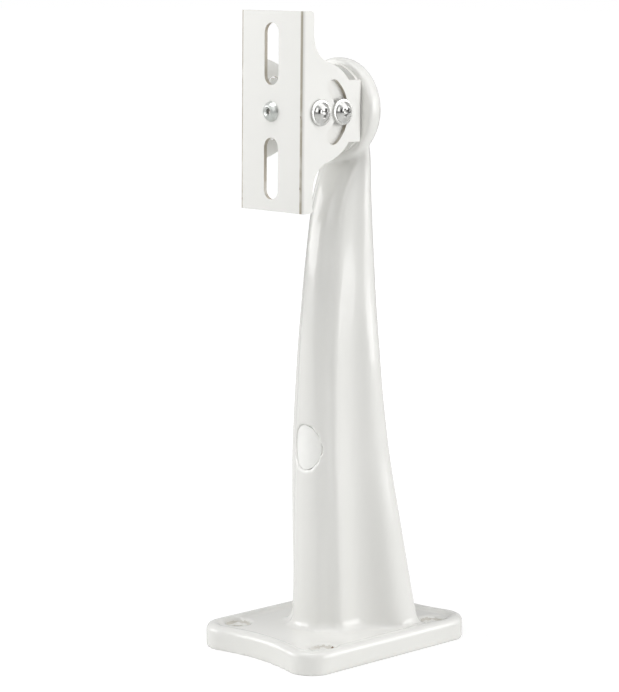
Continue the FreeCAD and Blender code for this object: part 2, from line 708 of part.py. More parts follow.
def arc_slot_tool():
    """The curved slot through both flanges, centred behind the pivot on the level line."""
    length = "2 * {bracket_half_width} + 2 * {margin}"
    at = ("-{bracket_half_width} - {margin}", PIVOT_Y, "{head_height}")
    outer = cylinder("arc_outer", "{arc_radius} + {arc_width} / 2", length, at, "X")
    inner = cylinder("arc_inner", "{arc_radius} - {arc_width} / 2", length, at, "X")
    sweep = 2 * size("arc_half_angle")
    for item in (outer, inner):
        bind(item, "Angle", "2 * {arc_half_angle}")
        turn = TURNS["X"] * FreeCAD.Rotation(Vector(0, 0, 1), 90 - sweep / 2)
        item.Placement = FreeCAD.Placement(Vector(), turn)
        for letter, expression in zip("xyz", at):
            bind(item, "Placement.Base." + letter, expression)
    band = cut("arc_band", outer, [inner])
    ends = []
    for i, sign in enumerate("+-"):
        place = (at[0], "%s + {arc_radius} * cos({arc_half_angle} * 1 deg)" % PIVOT_Y,
                 "{head_height} %s {arc_radius} * sin({arc_half_angle} * 1 deg)" % sign)
        ends.append(cylinder("arc_end_%d" % i, "{arc_width} / 2", length, place, "X"))
    return fuse("arc_slot", [band] + ends)


def camera_bracket():
    wide = "2 * {bracket_half_width}"
    tall = "2 * {bracket_half_length}"
    low = "{head_height} - {bracket_half_length}"
    depth = "{pivot_behind_face} + {lobe_radius} + {margin}"
    outer = box("bracket_outer", wide, depth, tall, ("-{bracket_half_width}", FACE_Y, low))
    face = -size("head_front") - size("pivot_from_head") - size("pivot_behind_face")
    outer = fillet("bracket_outer_bend", outer, size("bracket_bend"),
                   lambda e: runs_along(e, "Z") and near(middle(e).y, face))
    inner = box("bracket_inner", wide + " - 2 * {sheet}", depth, tall + " + 2 * {margin}",
                ("-{bracket_half_width} + {sheet}", FACE_Y + " + {sheet}", low + " - {margin}"))
    inner_face = face + size("sheet")
    inner = fillet("bracket_inner_bend", inner, size("bracket_bend_inside"),
                   lambda e: runs_along(e, "Z") and near(middle(e).y, inner_face))
    channel = cut("bracket_channel", outer, [inner])
    strip = box("strip", wide + " + 2 * {margin}", "{bracket_strip}", tall,
                ("-{bracket_half_width} - {margin}", FACE_Y, low))
    edge = face + size("bracket_strip")
    strip = fillet("strip_corners", strip, size("bracket_corner"),
                   lambda e: runs_along(e, "X") and near(middle(e).y, edge))
    lobe = cylinder("lobe", "{lobe_radius}", wide + " + 2 * {margin}",
                    ("-{bracket_half_width} - {margin}", PIVOT_Y, "{head_height}"), "X")
    side = fuse("side_outline", [strip, lobe])
    height = size("head_height")
    near_lobe = size("lobe_radius") + size("margin")
    side = fillet("side_roots", side, size("lobe_root"), lambda e: (
        runs_along(e, "X") and near(middle(e).y, edge) and abs(middle(e).z - height) < near_lobe))
    blank = common("bracket_blank", [channel, side])
    tools = [slot_tool("camera_slot_%d" % i, "{slot_width}", "{slot_length}", "{sheet} + 2 * {margin}",
                       ("0", FACE_Y + " - {margin}", "{head_height} %s {slot_middle}" % sign))
             for i, sign in enumerate("+-", start=1)]
    tools.append(arc_slot_tool())
    tools.append(cylinder("bracket_pivot_hole", "{screw_hole_radius}", wide + " + 2 * {margin}",
                          ("-{bracket_half_width} - {margin}", PIVOT_Y, "{head_height}"), "X"))
    tools.append(cylinder("rivet_hole", "{rivet_shank_radius}", "{sheet} + 2 * {margin}",
                          ("0", FACE_Y + " - {margin}", "{head_height}"), "Y"))
    return cut("camera_bracket", blank, tools)


def side_cylinder(name, radius, start, length, y, sign):
    """A cylinder along X that starts at a distance from the middle plane, on either side."""
    at_x = start if sign > 0 else "-(%s) - (%s)" % (start, length)
    return cylinder(name, radius, length, (at_x, y, "{head_height}"), "X")


def screw_set(name, y, sign, side):
    """One cross-recessed screw with its washer outside the flange and its nut inside the ear."""
    washer_at = "{bracket_half_width}"
    head_at = "{bracket_half_width} + {washer_thickness}"
    nut_at = "{bracket_half_width} - 2 * {sheet} - {nut_height}"
    head = side_cylinder(name + "_head_" + side, "{screw_head_radius}", head_at,
                         "{screw_head_height}", y, sign)
    top = sign * (size("bracket_half_width") + size("washer_thickness") + size("screw_head_height"))
    head = fillet(name + "_dome_" + side, head, size("screw_head_round"),
                  lambda e: near(e.BoundBox.XMin, top) and near(e.BoundBox.XMax, top))
    tail_at = nut_at + " - {screw_end}"
    shank = side_cylinder(name + "_shank_" + side, "{screw_radius}", tail_at,
                          "2 * {sheet} + {nut_height} + {screw_end} + {washer_thickness}", y, sign)
    recess_at = head_at + " + {screw_head_height} - {recess_depth}"
    recess_x = recess_at if sign > 0 else "-(%s) - {recess_depth}" % recess_at
    blades = [
        box(name + "_blade_level_" + side, "{recess_depth}", "{recess_length}", "{recess_width}",
            (recess_x, y + " - {recess_length} / 2", "{head_height} - {recess_width} / 2")),
        box(name + "_blade_up_" + side, "{recess_depth}", "{recess_width}", "{recess_length}",
            (recess_x, y + " - {recess_width} / 2", "{head_height} - {recess_length} / 2")),
    ]
    screw = cut("%s_screw_%s" % (name, side), fuse(name + "_solid_" + side, [head, shank]), blades)
    thin = "{washer_thickness}"
    ring = side_cylinder(name + "_washer_disc_" + side, "{washer_radius}", washer_at, thin, y, sign)
    hole = side_cylinder(name + "_washer_hole_" + side, "{washer_hole_radius}", washer_at, thin, y, sign)
    washer = cut("%s_washer_%s" % (name, side), ring, [hole])
    nut_x = nut_at if sign > 0 else "-(%s) - {nut_height}" % nut_at
    nut = hexagon("%s_nut_%s" % (name, side), "{nut_flats}", "{screw_radius}", "{nut_height}",
                  (nut_x, y, "{head_height}"), "X")
    return [screw, washer, nut]


def face_rivet():
    """Blind rivet in the middle of the camera plate, with the stub of its mandrel inside."""
    height = "{head_height}"
    dome = cylinder("rivet_dome", "{rivet_head_radius}", "{rivet_head_height}",
                    ("0", FACE_Y + " - {rivet_head_height}", height), "Y")
    face = -size("head_front") - size("pivot_from_head") - size("pivot_behind_face")
    top = face - size("rivet_head_height")
    dome = fillet("rivet_dome_round", dome, size("rivet_head_round"),
                  lambda e: near(e.BoundBox.YMin, top) and near(e.BoundBox.YMax, top))
    shank = cylinder("rivet_shank", "{rivet_shank_radius}", "{sheet}", ("0", FACE_Y, height), "Y")
    tail = cylinder("rivet_tail", "{rivet_tail_radius}", "{rivet_tail_height}",
                    ("0", FACE_Y + " + {sheet}", height), "Y")
    length = "{rivet_head_height} + {sheet} + {rivet_tail_height}"
    bore = cylinder("rivet_bore", "{rivet_bore_radius}", length,
                    ("0", FACE_Y + " - {rivet_head_height}", height), "Y")
    rivet = cut("face_rivet", fuse("rivet_solid", [dome, shank, tail]), [bore])
    mandrel = doc.addObject("Part::Cylinder", "rivet_mandrel")
    bind(mandrel, "Radius", "{rivet_bore_radius}")
    bind(mandrel, "Height", length + " - {mandrel_depth}")
    put(mandrel, ("0", FACE_Y + " - {rivet_head_height} + {mandrel_depth}", height), "Y")
    return [rivet, mandrel]


fill_sheet()
nodes = [arm_casting(), cable_hole_plug(), swivel_yoke(), camera_bracket()]
nodes += pan_fasteners()
nodes += face_rivet()
for sign, side in ((1, "right"), (-1, "left")):
    nodes += screw_set("pivot", PIVOT_Y, sign, side)
    nodes += screw_set("clamp", PIVOT_Y + " + {arc_radius}", sign, side)
doc.recompute()

for item in doc.Objects:
    for state in item.State:
        if state in ("Invalid", "Error"):
            raise RuntimeError("%s is %s" % (item.Name, state))

os.makedirs("parts", exist_ok=True)
for node in nodes:
    node.Label = node.Name
    shape = node.Shape
    if shape.isNull() or not shape.isValid() or not shape.Solids:
        raise RuntimeError("bad shape: " + node.Label)
    shape.exportStep("parts/%s.step" % node.Label)
    bounds = shape.BoundBox
    print("%-20s solids %d volume %8.1f  x %.2f %.2f  y %.2f %.2f  z %.2f %.2f" % (
        node.Label, len(shape.Solids), shape.Volume, bounds.XMin, bounds.XMax,
        bounds.YMin, bounds.YMax, bounds.ZMin, bounds.ZMax))
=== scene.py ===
# %% [markdown]
# A camera wall bracket, dressed for a studio photograph.
# The object is a white cast arm on a wall plate, a bent yoke on its round head, and a slotted camera
# plate that tilts between the yoke's ears. The solids come from the CAD model and stay where they
# are, because the motion of the bracket is tested on them. This script gives each of them the
# rounded edges, the screw recesses and the finishes that a solid model leaves out.

# %% Load the CAD frame
import math

import bmesh
import bpy
from mathutils import Matrix, Vector


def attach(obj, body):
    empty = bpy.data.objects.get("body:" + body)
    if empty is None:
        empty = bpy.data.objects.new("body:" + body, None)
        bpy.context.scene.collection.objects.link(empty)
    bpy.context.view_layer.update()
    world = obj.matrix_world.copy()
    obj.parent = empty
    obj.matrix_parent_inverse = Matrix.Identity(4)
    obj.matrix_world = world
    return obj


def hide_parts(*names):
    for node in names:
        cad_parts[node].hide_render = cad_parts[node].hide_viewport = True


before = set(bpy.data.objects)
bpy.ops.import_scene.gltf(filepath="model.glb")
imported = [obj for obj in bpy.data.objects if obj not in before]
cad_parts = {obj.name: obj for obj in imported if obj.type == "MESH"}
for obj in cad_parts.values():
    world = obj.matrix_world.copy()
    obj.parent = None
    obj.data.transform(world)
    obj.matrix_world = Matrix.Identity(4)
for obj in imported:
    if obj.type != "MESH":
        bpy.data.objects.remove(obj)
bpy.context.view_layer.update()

# %% [markdown]
# Camera first. The photograph was taken with a long lens from the front left of the arm, a little
# above its middle. A long lens keeps the upright edges almost parallel. The place is given as an
# angle round the object, a height above the horizon and a distance, because those can be read off
# the picture, and the small roll makes up for a camera that wasn't quite level.

# %% Camera
AZIMUTH = math.radians(46.18)
ELEVATION = math.radians(8.776)
ROLL = math.radians(0.52)
DISTANCE = 0.93737
AIM_HEIGHT = 0.11937
SIDE_SHIFT = -0.01137
LENS = 123.98


def place_camera():
    back = Vector((math.sin(AZIMUTH) * math.cos(ELEVATION),
                   -math.cos(AZIMUTH) * math.cos(ELEVATION), math.sin(ELEVATION)))
    level = Vector((math.cos(AZIMUTH), math.sin(AZIMUTH), 0))
    upright = back.cross(level)
    right = level * math.cos(ROLL) + upright * math.sin(ROLL)
    up = upright * math.cos(ROLL) - level * math.sin(ROLL)
    spot = Vector((0, 0, AIM_HEIGHT)) + right * SIDE_SHIFT + back * DISTANCE
    camera = bpy.data.objects.new("camera", bpy.data.cameras.new("camera"))
    camera.data.lens = LENS
    camera.data.clip_start = 0.01
    camera.matrix_world = Matrix((right, up, back)).transposed().to_4x4()
    camera.matrix_world.translation = spot
    bpy.context.collection.objects.link(camera)
    bpy.context.scene.camera = camera
    return camera


print("camera at", [round(v, 3) for v in place_camera().matrix_world.translation])

# %% [markdown]
# Studio light. White metal on a white ground is lit mostly from the sides: the faces turned to the
# side boxes come out light, the ones turned to the camera a little darker, and that difference is
# what shows the shape. Area lamps give soft shadows. The world fills the rest. Its strength is 1
# for the camera alone, so the background is white, while the gloss sees a light grey room and the
# paint gets only a little fill.

# %% Lamps, world and floor
LAMPS = {
    "left_box": (-48, 15, 2.0, (1.6, 1.0), 21.0),
    "front_box": (42, 27, 2.0, (1.2, 1.2), 5.8),
    "right_box": (118, 8, 2.0, (1.4, 0.8), 13.5),
    "back_box": (145, 10, 2.0, (1.0, 1.0), 4.0),
    "high_box": (122, 50, 1.1, (0.9, 1.2), 3.4),
    "top_box": (0, 74, 1.2, (0.9, 0.9), 7.4),
}
FILL = 0.10
ROOM_GREY = 0.60
LAMP_AIM = Vector((0, 0, 0.12))


def direction(azimuth, elevation):
    a, e = math.radians(azimuth), math.radians(elevation)
    return Vector((math.sin(a) * math.cos(e), -math.cos(a) * math.cos(e), math.sin(e)))


def add_lamp(name, azimuth, elevation, distance, shape, power):
    lamp = bpy.data.lights.new(name, "AREA")
    lamp.shape = "RECTANGLE"
    lamp.size, lamp.size_y = shape
    lamp.energy = power
    holder = bpy.data.objects.new(name, lamp)
    away = direction(azimuth, elevation)
    holder.matrix_world = away.to_track_quat("Z", "Y").to_matrix().to_4x4()
    holder.matrix_world.translation = LAMP_AIM + away * distance
    bpy.context.collection.objects.link(holder)


def link(tree, start, end):
    tree.links.new(start, end)
    return end


def add_node(tree, kind, **values):
    """A node with its inputs set by name or, as in0 and in1, by number. An output is linked."""
    node = tree.nodes.new(kind)
    for name, value in values.items():
        if name in node.bl_rna.properties:
            setattr(node, name, value)
            continue
        by_number = name.startswith("in")
        socket = node.inputs[int(name[2:]) if by_number else name.replace("_", " ")]
        if isinstance(value, bpy.types.NodeSocket):
            tree.links.new(value, socket)
        else:
            socket.default_value = value
    return node


def build_world():
    """White for the camera, grey for the gloss, and a soft fill for all other rays."""
    world = bpy.data.worlds.new("studio")
    bpy.context.scene.world = world
    world.use_nodes = True
    tree = world.node_tree
    tree.nodes.clear()
    ray = tree.nodes.new("ShaderNodeLightPath").outputs
    unseen = add_node(tree, "ShaderNodeMapRange", Value=ray["Is Glossy Ray"], To_Min=FILL,
                      To_Max=ROOM_GREY)
    strength = add_node(tree, "ShaderNodeMapRange", Value=ray["Is Camera Ray"],
                        To_Min=unseen.outputs[0], To_Max=1.0)
    ground = add_node(tree, "ShaderNodeBackground", Color=(1, 1, 1, 1), Strength=strength.outputs[0])
    end = tree.nodes.new("ShaderNodeOutputWorld")
    link(tree, ground.outputs[0], end.inputs[0])


FLOOR_SIDE = 30.0
FLOOR_WHITE = (0.93, 0.93, 0.92, 1)
FLOOR_DIFFUSE = 0.34
NEAR_GLOW, FAR_GLOW = 0.74, 1.0
NEAR_EDGE, FAR_EDGE = 0.12, 0.45


def build_floor():
    """A pale floor whose shadow stays while its open part is as white as the background."""
    mesh = bpy.data.meshes.new("floor")
    half = FLOOR_SIDE / 2
    corners = [(-half, -half, 0), (half, -half, 0), (half, half, 0), (-half, half, 0)]
    mesh.from_pydata(corners, [], [(0, 1, 2, 3)])
    floor = bpy.data.objects.new("floor", mesh)
    bpy.context.collection.objects.link(floor)
    material = bpy.data.materials.new("pale_floor")
    material.use_nodes = True
    tree = material.node_tree
    tree.nodes.clear()
    plain = add_node(tree, "ShaderNodeBsdfDiffuse", Color=FLOOR_WHITE)
    shadowed = add_node(tree, "ShaderNodeBsdfDiffuse",
                        Color=(FLOOR_DIFFUSE, FLOOR_DIFFUSE, FLOOR_DIFFUSE, 1))
    place = tree.nodes.new("ShaderNodeTexCoord").outputs["Object"]
    away = add_node(tree, "ShaderNodeVectorMath", operation="LENGTH", in0=place)
    rise = add_node(tree, "ShaderNodeMapRange", Value=away.outputs["Value"], From_Min=NEAR_EDGE,
                    From_Max=FAR_EDGE, To_Min=NEAR_GLOW, To_Max=FAR_GLOW)
    glow = add_node(tree, "ShaderNodeEmission", Color=(1, 1, 1, 1), Strength=rise.outputs[0])
    bright = add_node(tree, "ShaderNodeAddShader", in0=shadowed.outputs[0], in1=glow.outputs[0])
    ray = tree.nodes.new("ShaderNodeLightPath").outputs
    mixed = add_node(tree, "ShaderNodeMixShader", in0=ray["Is Camera Ray"], in1=plain.outputs[0],
                     in2=bright.outputs[0])
    end = tree.nodes.new("ShaderNodeOutputMaterial")
    link(tree, mixed.outputs[0], end.inputs[0])
    mesh.materials.append(material)


for lamp_name, lamp_values in LAMPS.items():
    add_lamp(lamp_name, *lamp_values)
build_world()
build_floor()
bpy.context.scene.view_settings.view_transform = "Standard"
print("lamps", len(LAMPS))

# %% [markdown]
# A black card. Chrome and bright zinc show nothing but the room, so a photographer stands a black
# card beside the camera to give the screws a dark edge. The card is seen by gloss alone: it throws
# no shadow and takes no light from the painted faces.

# %% Black card
CARD_AZIMUTH, CARD_DISTANCE = 74, 1.5
CARD_HALF_WIDTH, CARD_LOW, CARD_HIGH = 0.32, 0.05, 0.95
CARD_BLACK = 0.02


def build_card():
    middle = direction(CARD_AZIMUTH, 0) * CARD_DISTANCE
    across = direction(CARD_AZIMUTH + 90, 0) * CARD_HALF_WIDTH
    corners = [middle - across, middle + across]
    points = [(p.x, p.y, CARD_LOW) for p in corners] + [(p.x, p.y, CARD_HIGH) for p in corners[::-1]]
    mesh = bpy.data.meshes.new("black_card")
    mesh.from_pydata(points, [], [(0, 1, 2, 3)])
    card = bpy.data.objects.new("black_card", mesh)
    bpy.context.collection.objects.link(card)
    material = bpy.data.materials.new("black_card")
    material.use_nodes = True
    shader = material.node_tree.nodes["Principled BSDF"]
    shader.inputs["Base Color"].default_value = (CARD_BLACK, CARD_BLACK, CARD_BLACK, 1)
    shader.inputs["Roughness"].default_value = 1.0
    mesh.materials.append(material)
    card.visible_camera = card.visible_diffuse = card.visible_shadow = card.visible_transmission = False


build_card()
print("card at", CARD_AZIMUTH, "degrees")

# %% [markdown]
# The finishes. Powder coat is a baked plastic skin: it has the faint ripple of an orange peel and a
# soft gloss that varies a little. It is thin on punched edges, where it yellows or chips, so the
# edges get a finish of their own. The walls of the punched slots are darker, partly a thin coat and
# partly painted shade for the shade inside the narrow slots, and the walls of the screw holes carry
# painted shade; both chip as well. All of that is noise on Object coordinates, which are metres on
# the real object, so the ripple has its real size of one or two millimetres on every piece.

# %% Powder coat and plastic
def start_material(name, colour, roughness, metallic=0.0, specular=0.5):
    material = bpy.data.materials.new(name)
    material.use_nodes = True
    tree = material.node_tree
    shader = tree.nodes["Principled BSDF"]
    shader.inputs["Base Color"].default_value = (*colour, 1)
    shader.inputs["Roughness"].default_value = roughness
    shader.inputs["Metallic"].default_value = metallic
    shader.inputs["Specular IOR Level"].default_value = specular
    place = tree.nodes.new("ShaderNodeTexCoord").outputs["Object"]
    return material, tree, shader, place


def noise(tree, place, size, detail=2.0, rough=0.5):
    """Noise whose patches are about size metres across."""
    node = add_node(tree, "ShaderNodeTexNoise", Vector=place, Scale=1.0 / size, Detail=detail,
                    Roughness=rough)
    return node.outputs["Fac"]


def spread(tree, value, low, high, out_low, out_high):
    node = add_node(tree, "ShaderNodeMapRange", Value=value, From_Min=low, From_Max=high,
                    To_Min=out_low, To_Max=out_high)
    return node.outputs[0]


def blend_colour(tree, amount, one, other):
    node = tree.nodes.new("ShaderNodeMix")
    node.data_type = "RGBA"
    tree.links.new(amount, node.inputs[0])
    for socket, value in ((node.inputs[6], one), (node.inputs[7], other)):
        if isinstance(value, bpy.types.NodeSocket):
            tree.links.new(value, socket)
        else:
            socket.default_value = (*value, 1)
    return node.outputs[2]


def bump(tree, shader, height, strength, distance):
    node = add_node(tree, "ShaderNodeBump", Height=height, Strength=strength, Distance=distance)
    tree.links.new(node.outputs[0], shader.inputs["Normal"])


WARM_WHITE = (0.836, 0.833, 0.807)
SHADE_WHITE = (0.820, 0.818, 0.790)
YELLOWED = (0.66, 0.645, 0.60)
# Darker, brownish colour for the slot walls: a thin coat, and painted shade for the shade inside the narrow
# slots.
SLOT_WALL_COAT_AND_SHADE = (0.44, 0.40, 0.33)
# Darker colour for the walls of the arm's four screw holes: painted shade.
HOLE_WALL_SHADE = (0.62, 0.60, 0.55)
CHIP_BROWN = (0.20, 0.13, 0.08)
PATCH, CHIP = 0.009, 0.003


def powder_coat(name, peel, peel_height, gloss_low, gloss_high, specular):
    material, tree, shader, place = start_material(name, WARM_WHITE, gloss_low, specular=specular)
    cloudy = spread(tree, noise(tree, place, 0.05, 1), 0.35, 0.65, 0, 1)
    link(tree, blend_colour(tree, cloudy, WARM_WHITE, SHADE_WHITE), shader.inputs["Base Color"])
    uneven = spread(tree, noise(tree, place, 0.02, 1), 0.3, 0.7, gloss_low, gloss_high)
    link(tree, uneven, shader.inputs["Roughness"])
    bump(tree, shader, noise(tree, place, peel, 0, 0.4), 0.2, peel_height)
    return material


def thin_coat_and_shade(name, darker_colour, whole, worn):
    """Coat on an edge or in a hole: whole below one noise value, a darker colour above another, with bare
    chips. The darker colour is a thin coat on edges, a thin coat with painted shade on slot walls, and
    painted shade in screw holes.
    """
    material, tree, shader, place = start_material(name, WARM_WHITE, 0.4)
    # Where the darker colour shows: thin coat on edges, painted shade in slots and holes.
    darker_share = spread(tree, noise(tree, place, PATCH, 2), whole, worn, 0, 1)
    colour = blend_colour(tree, darker_share, WARM_WHITE, darker_colour)
    bare = spread(tree, noise(tree, place, CHIP, 2), 0.68, 0.71, 0, 1)
    link(tree, blend_colour(tree, bare, colour, CHIP_BROWN), shader.inputs["Base Color"])
    link(tree, spread(tree, bare, 0, 1, 0.38, 0.7), shader.inputs["Roughness"])
    return material


cast_coat = powder_coat("cast_coat", 0.0024, 0.00004, 0.10, 0.17, 0.5)
sheet_coat = powder_coat("sheet_coat", 0.0016, 0.00003, 0.30, 0.38, 0.35)
edge_coat = thin_coat_and_shade("edge_coat", YELLOWED, 0.46, 0.60)
# Slot walls: a thin coat with chips, darkened further as painted shade.
wall_coat = thin_coat_and_shade("wall_coat", SLOT_WALL_COAT_AND_SHADE, 0.20, 0.50)
# Screw-hole walls: painted shade, with chips of bare metal.
hole_wall_shade_and_chips = thin_coat_and_shade("hole_wall_shade_and_chips", HOLE_WALL_SHADE, 0.30, 0.50)


PLUG_LIGHT, PLUG_DARK = (0.93, 0.93, 0.905), (0.90, 0.90, 0.875)


def plug_plastic():
    material, tree, shader, place = start_material("plug_plastic", (0.92, 0.92, 0.90), 0.42)
    shade = spread(tree, noise(tree, place, 0.006, 3), 0.3, 0.7, 0, 1)
    link(tree, blend_colour(tree, shade, PLUG_LIGHT, PLUG_DARK), shader.inputs["Base Color"])
    link(tree, spread(tree, noise(tree, place, 0.001, 2), 0.3, 0.7, 0.38, 0.48), shader.inputs["Roughness"])
    bump(tree, shader, noise(tree, place, 0.0004, 2), 0.2, 0.00002)
    return material


plastic = plug_plastic()
print("paint", cast_coat.name, sheet_coat.name, plastic.name)

# %% [markdown]
# Bright zinc. Plated screws mirror the room nearly as well as chrome, but the plating follows the
# drawn wire below it, so its gloss is uneven and fine scratches run over it. The cross recesses are
# rougher, and their darker colour is painted shade. The rivet is softer, and its broken steel pin has
# no plating: it is darker and rougher.

# %% Metals
SCRATCH_STRETCH = 9.0


def plated(name, bright, dull, smooth, rough, scratch):
    material, tree, shader, place = start_material(name, bright, rough, metallic=1.0)
    patches = spread(tree, noise(tree, place, 0.0016, 4), 0.35, 0.65, 0, 1)
    link(tree, blend_colour(tree, patches, bright, dull), shader.inputs["Base Color"])
    uneven = spread(tree, noise(tree, place, 0.0009, 3), 0.3, 0.7, smooth, rough)
    link(tree, uneven, shader.inputs["Roughness"])
    drawn = add_node(tree, "ShaderNodeMapping", Vector=place, Scale=(1.0, 1.0, SCRATCH_STRETCH))
    bump(tree, shader, noise(tree, drawn.outputs[0], 0.0009, 3), 0.3, scratch)
    return material


bright_zinc = plated("bright_zinc", (0.70, 0.70, 0.685), (0.57, 0.57, 0.555), 0.09, 0.21, 0.00001)
# The recess colour is darker than the heads' as painted shade; its higher roughness is real.
recess_zinc_shade = plated("recess_zinc_shade", (0.46, 0.46, 0.45), (0.36, 0.36, 0.35), 0.30, 0.42, 0.00002)
soft_metal = plated("soft_metal", (0.66, 0.68, 0.66), (0.56, 0.58, 0.56), 0.30, 0.42, 0.00001)
dull_steel = plated("dull_steel", (0.42, 0.40, 0.38), (0.30, 0.29, 0.27), 0.30, 0.45, 0.00002)
print("metal", bright_zinc.name, recess_zinc_shade.name, soft_metal.name, dull_steel.name)

# %% [markdown]
# Working on copies. A CAD node is a heap of loose triangles that must stay as it is, so a piece
# that needs soft edges starts from a copy whose corners are merged. Triangles that lie in one
# plane are joined to one face, which leaves a clean edge for a bevel to round.

# %% Copies of CAD nodes
MERGE = 1e-6


def add_object(name, mesh):
    piece = bpy.data.objects.new(name, mesh)
    bpy.context.collection.objects.link(piece)
    return piece


def cad_copy(node, name, flat_angle=None):
    shape = bmesh.new()
    shape.from_mesh(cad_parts[node].data)
    bmesh.ops.remove_doubles(shape, verts=shape.verts, dist=MERGE)
    if flat_angle:
        bmesh.ops.dissolve_limit(shape, angle_limit=math.radians(flat_angle), verts=shape.verts,
                                 edges=shape.edges)
    shape.verts.index_update()
    points = [v.co.copy() for v in shape.verts]
    faces = [[v.index for v in f.verts] for f in shape.faces]
    mesh = bpy.data.meshes.new(name)
    mesh.from_pydata(points, [], faces)
    shape.free()
    return add_object(name, mesh)


def baked(piece, *materials):
    """Turn a piece with modifiers into a plain mesh, and give it its materials if any are named."""
    graph = bpy.context.evaluated_depsgraph_get()
    mesh = bpy.data.meshes.new_from_object(piece.evaluated_get(graph))
    piece.modifiers.clear()
    piece.data = mesh
    if materials:
        mesh.materials.clear()
        for material in materials:
            mesh.materials.append(material)
    return piece


def smooth_by_angle(piece, degrees):
    piece.data.shade_smooth()
    piece.data.set_sharp_from_angle(angle=math.radians(degrees))


def stand_for(piece, body, slot, *nodes):
    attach(piece, body)
    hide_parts(*nodes)
    print(piece.name, "stands for", ", ".join(nodes), "with", len(piece.data.polygons), "faces")


# %% [markdown]
# The cast arm. A die casting has no sharp edge: the mould's corners are rounded, the arm flows
# into its plate, and paint fills what is left. One way is a bevel on every edge, which breaks down
# where many small faces meet. Here the copy is wrapped in a skin of even squares and relaxed a
# little, and every edge, the valley of the plate and the foot get the same soft radius at once.

# %% Cast arm
MM = 0.001
SKIN_SQUARE = 0.85 * MM
SKIN_ROUNDS = 6
WALL_HOLE = (24.5, 30.5)
SINK_RADIUS, SINK_TOP = 5.4, 7.5
LEVEL_FACE = 0.8


def in_wall_hole(centre, normal):
    """Is this face a wall of one of the four screw holes?"""
    across = math.hypot(abs(centre.x) / MM - WALL_HOLE[0], abs(centre.y) / MM - WALL_HOLE[1])
    return across < SINK_RADIUS and centre.z < SINK_TOP * MM and abs(normal.z) < LEVEL_FACE


def build_arm():
    arm = cad_copy("arm_casting", "cast_arm")
    skin = arm.modifiers.new("even_skin", "REMESH")
    skin.mode = "VOXEL"
    skin.voxel_size = SKIN_SQUARE
    relax = arm.modifiers.new("relax", "SMOOTH")
    relax.factor = 0.5
    relax.iterations = SKIN_ROUNDS
    baked(arm, cast_coat, hole_wall_shade_and_chips)
    # The walls of the four screw holes get the second material, which is painted shade.
    for face in arm.data.polygons:
        face.material_index = int(in_wall_hole(face.center, face.normal))
    arm.data.shade_smooth()
    stand_for(arm, "arm", "white_coat", "arm_casting")


build_arm()

# %% [markdown]
# Bent sheet and plug. Punched and bent steel keeps crisp edges with a radius of a fifth of a
# millimetre once it is coated, and it is this thin edge that catches the light. A bevel with an
# angle limit rounds only the real corners, not the small steps round the slots' ends.

# %% Sheet metal
PIVOT = Vector((0, -27.8, 212.5)) * MM
EDGE_RADIUS, PLUG_EDGE, WASHER_EDGE = 0.2 * MM, 0.3 * MM, 0.12 * MM
EDGE_LIMIT = 38
FLAT_ANGLE = 0.5
# Where the punched holes lie, in millimetres from the pivot.
SLOT_SIDE, SLOT_INNER, SLOT_OUTER = 4.2, 10, 34
FLANGE_SIDE, ARC_REACH = 12, 15
FACE_ON = 0.6


def soft_edges(piece, radius, *materials, segments=2):
    """Round a piece's corners. A second material is for the new faces on them."""
    for material in materials:
        piece.data.materials.append(material)
    edge = piece.modifiers.new("soft_edge", "BEVEL")
    edge.width = radius
    edge.segments = segments
    edge.limit_method = "ANGLE"
    edge.angle_limit = math.radians(EDGE_LIMIT)
    edge.material = 1 if len(materials) > 1 else -1
    edge.harden_normals = True
    piece.data.shade_smooth()
    baked(piece)


def in_punched_hole(centre, normal):
    """Is this face a wall of a camera slot or of an arc slot?"""
    spot = (centre - PIVOT) / MM
    in_slot = abs(normal.y) < FACE_ON and abs(spot.x) < SLOT_SIDE and SLOT_INNER < abs(spot.z) < SLOT_OUTER
    in_flange = abs(normal.x) < FACE_ON and abs(spot.x) > FLANGE_SIDE
    in_arc = in_flange and math.hypot(spot.y, spot.z) < ARC_REACH
    return in_slot or in_arc


plate = cad_copy("camera_bracket", "camera_plate", flat_angle=FLAT_ANGLE)
soft_edges(plate, EDGE_RADIUS, sheet_coat, edge_coat, wall_coat)
# The walls of the punched slots get the third material: a thin coat darkened with painted shade.
for face in plate.data.polygons:
    if in_punched_hole(face.center, face.normal):
        face.material_index = 2
stand_for(plate, "bracket", "white_sheet", "camera_bracket")
yoke = cad_copy("swivel_yoke", "bent_yoke", flat_angle=FLAT_ANGLE)
soft_edges(yoke, EDGE_RADIUS, sheet_coat, edge_coat)
stand_for(yoke, "yoke", "white_sheet", "swivel_yoke")
plug = cad_copy("cable_hole_plug", "hole_plug", flat_angle=FLAT_ANGLE)
soft_edges(plug, PLUG_EDGE, plastic, segments=3)
stand_for(plug, "arm", "white_plastic", "cable_hole_plug")

# %% [markdown]
# Turned pieces. Screws, washers, nuts and rivets are round, so each is one outline spun about an
# axis. The outline is a short list of radii and heights in millimetres, read from the bottom to
# the top; where a radius is nought the surface closes in a single point.

# %% Spinning an outline
ROUND_STEPS = 48


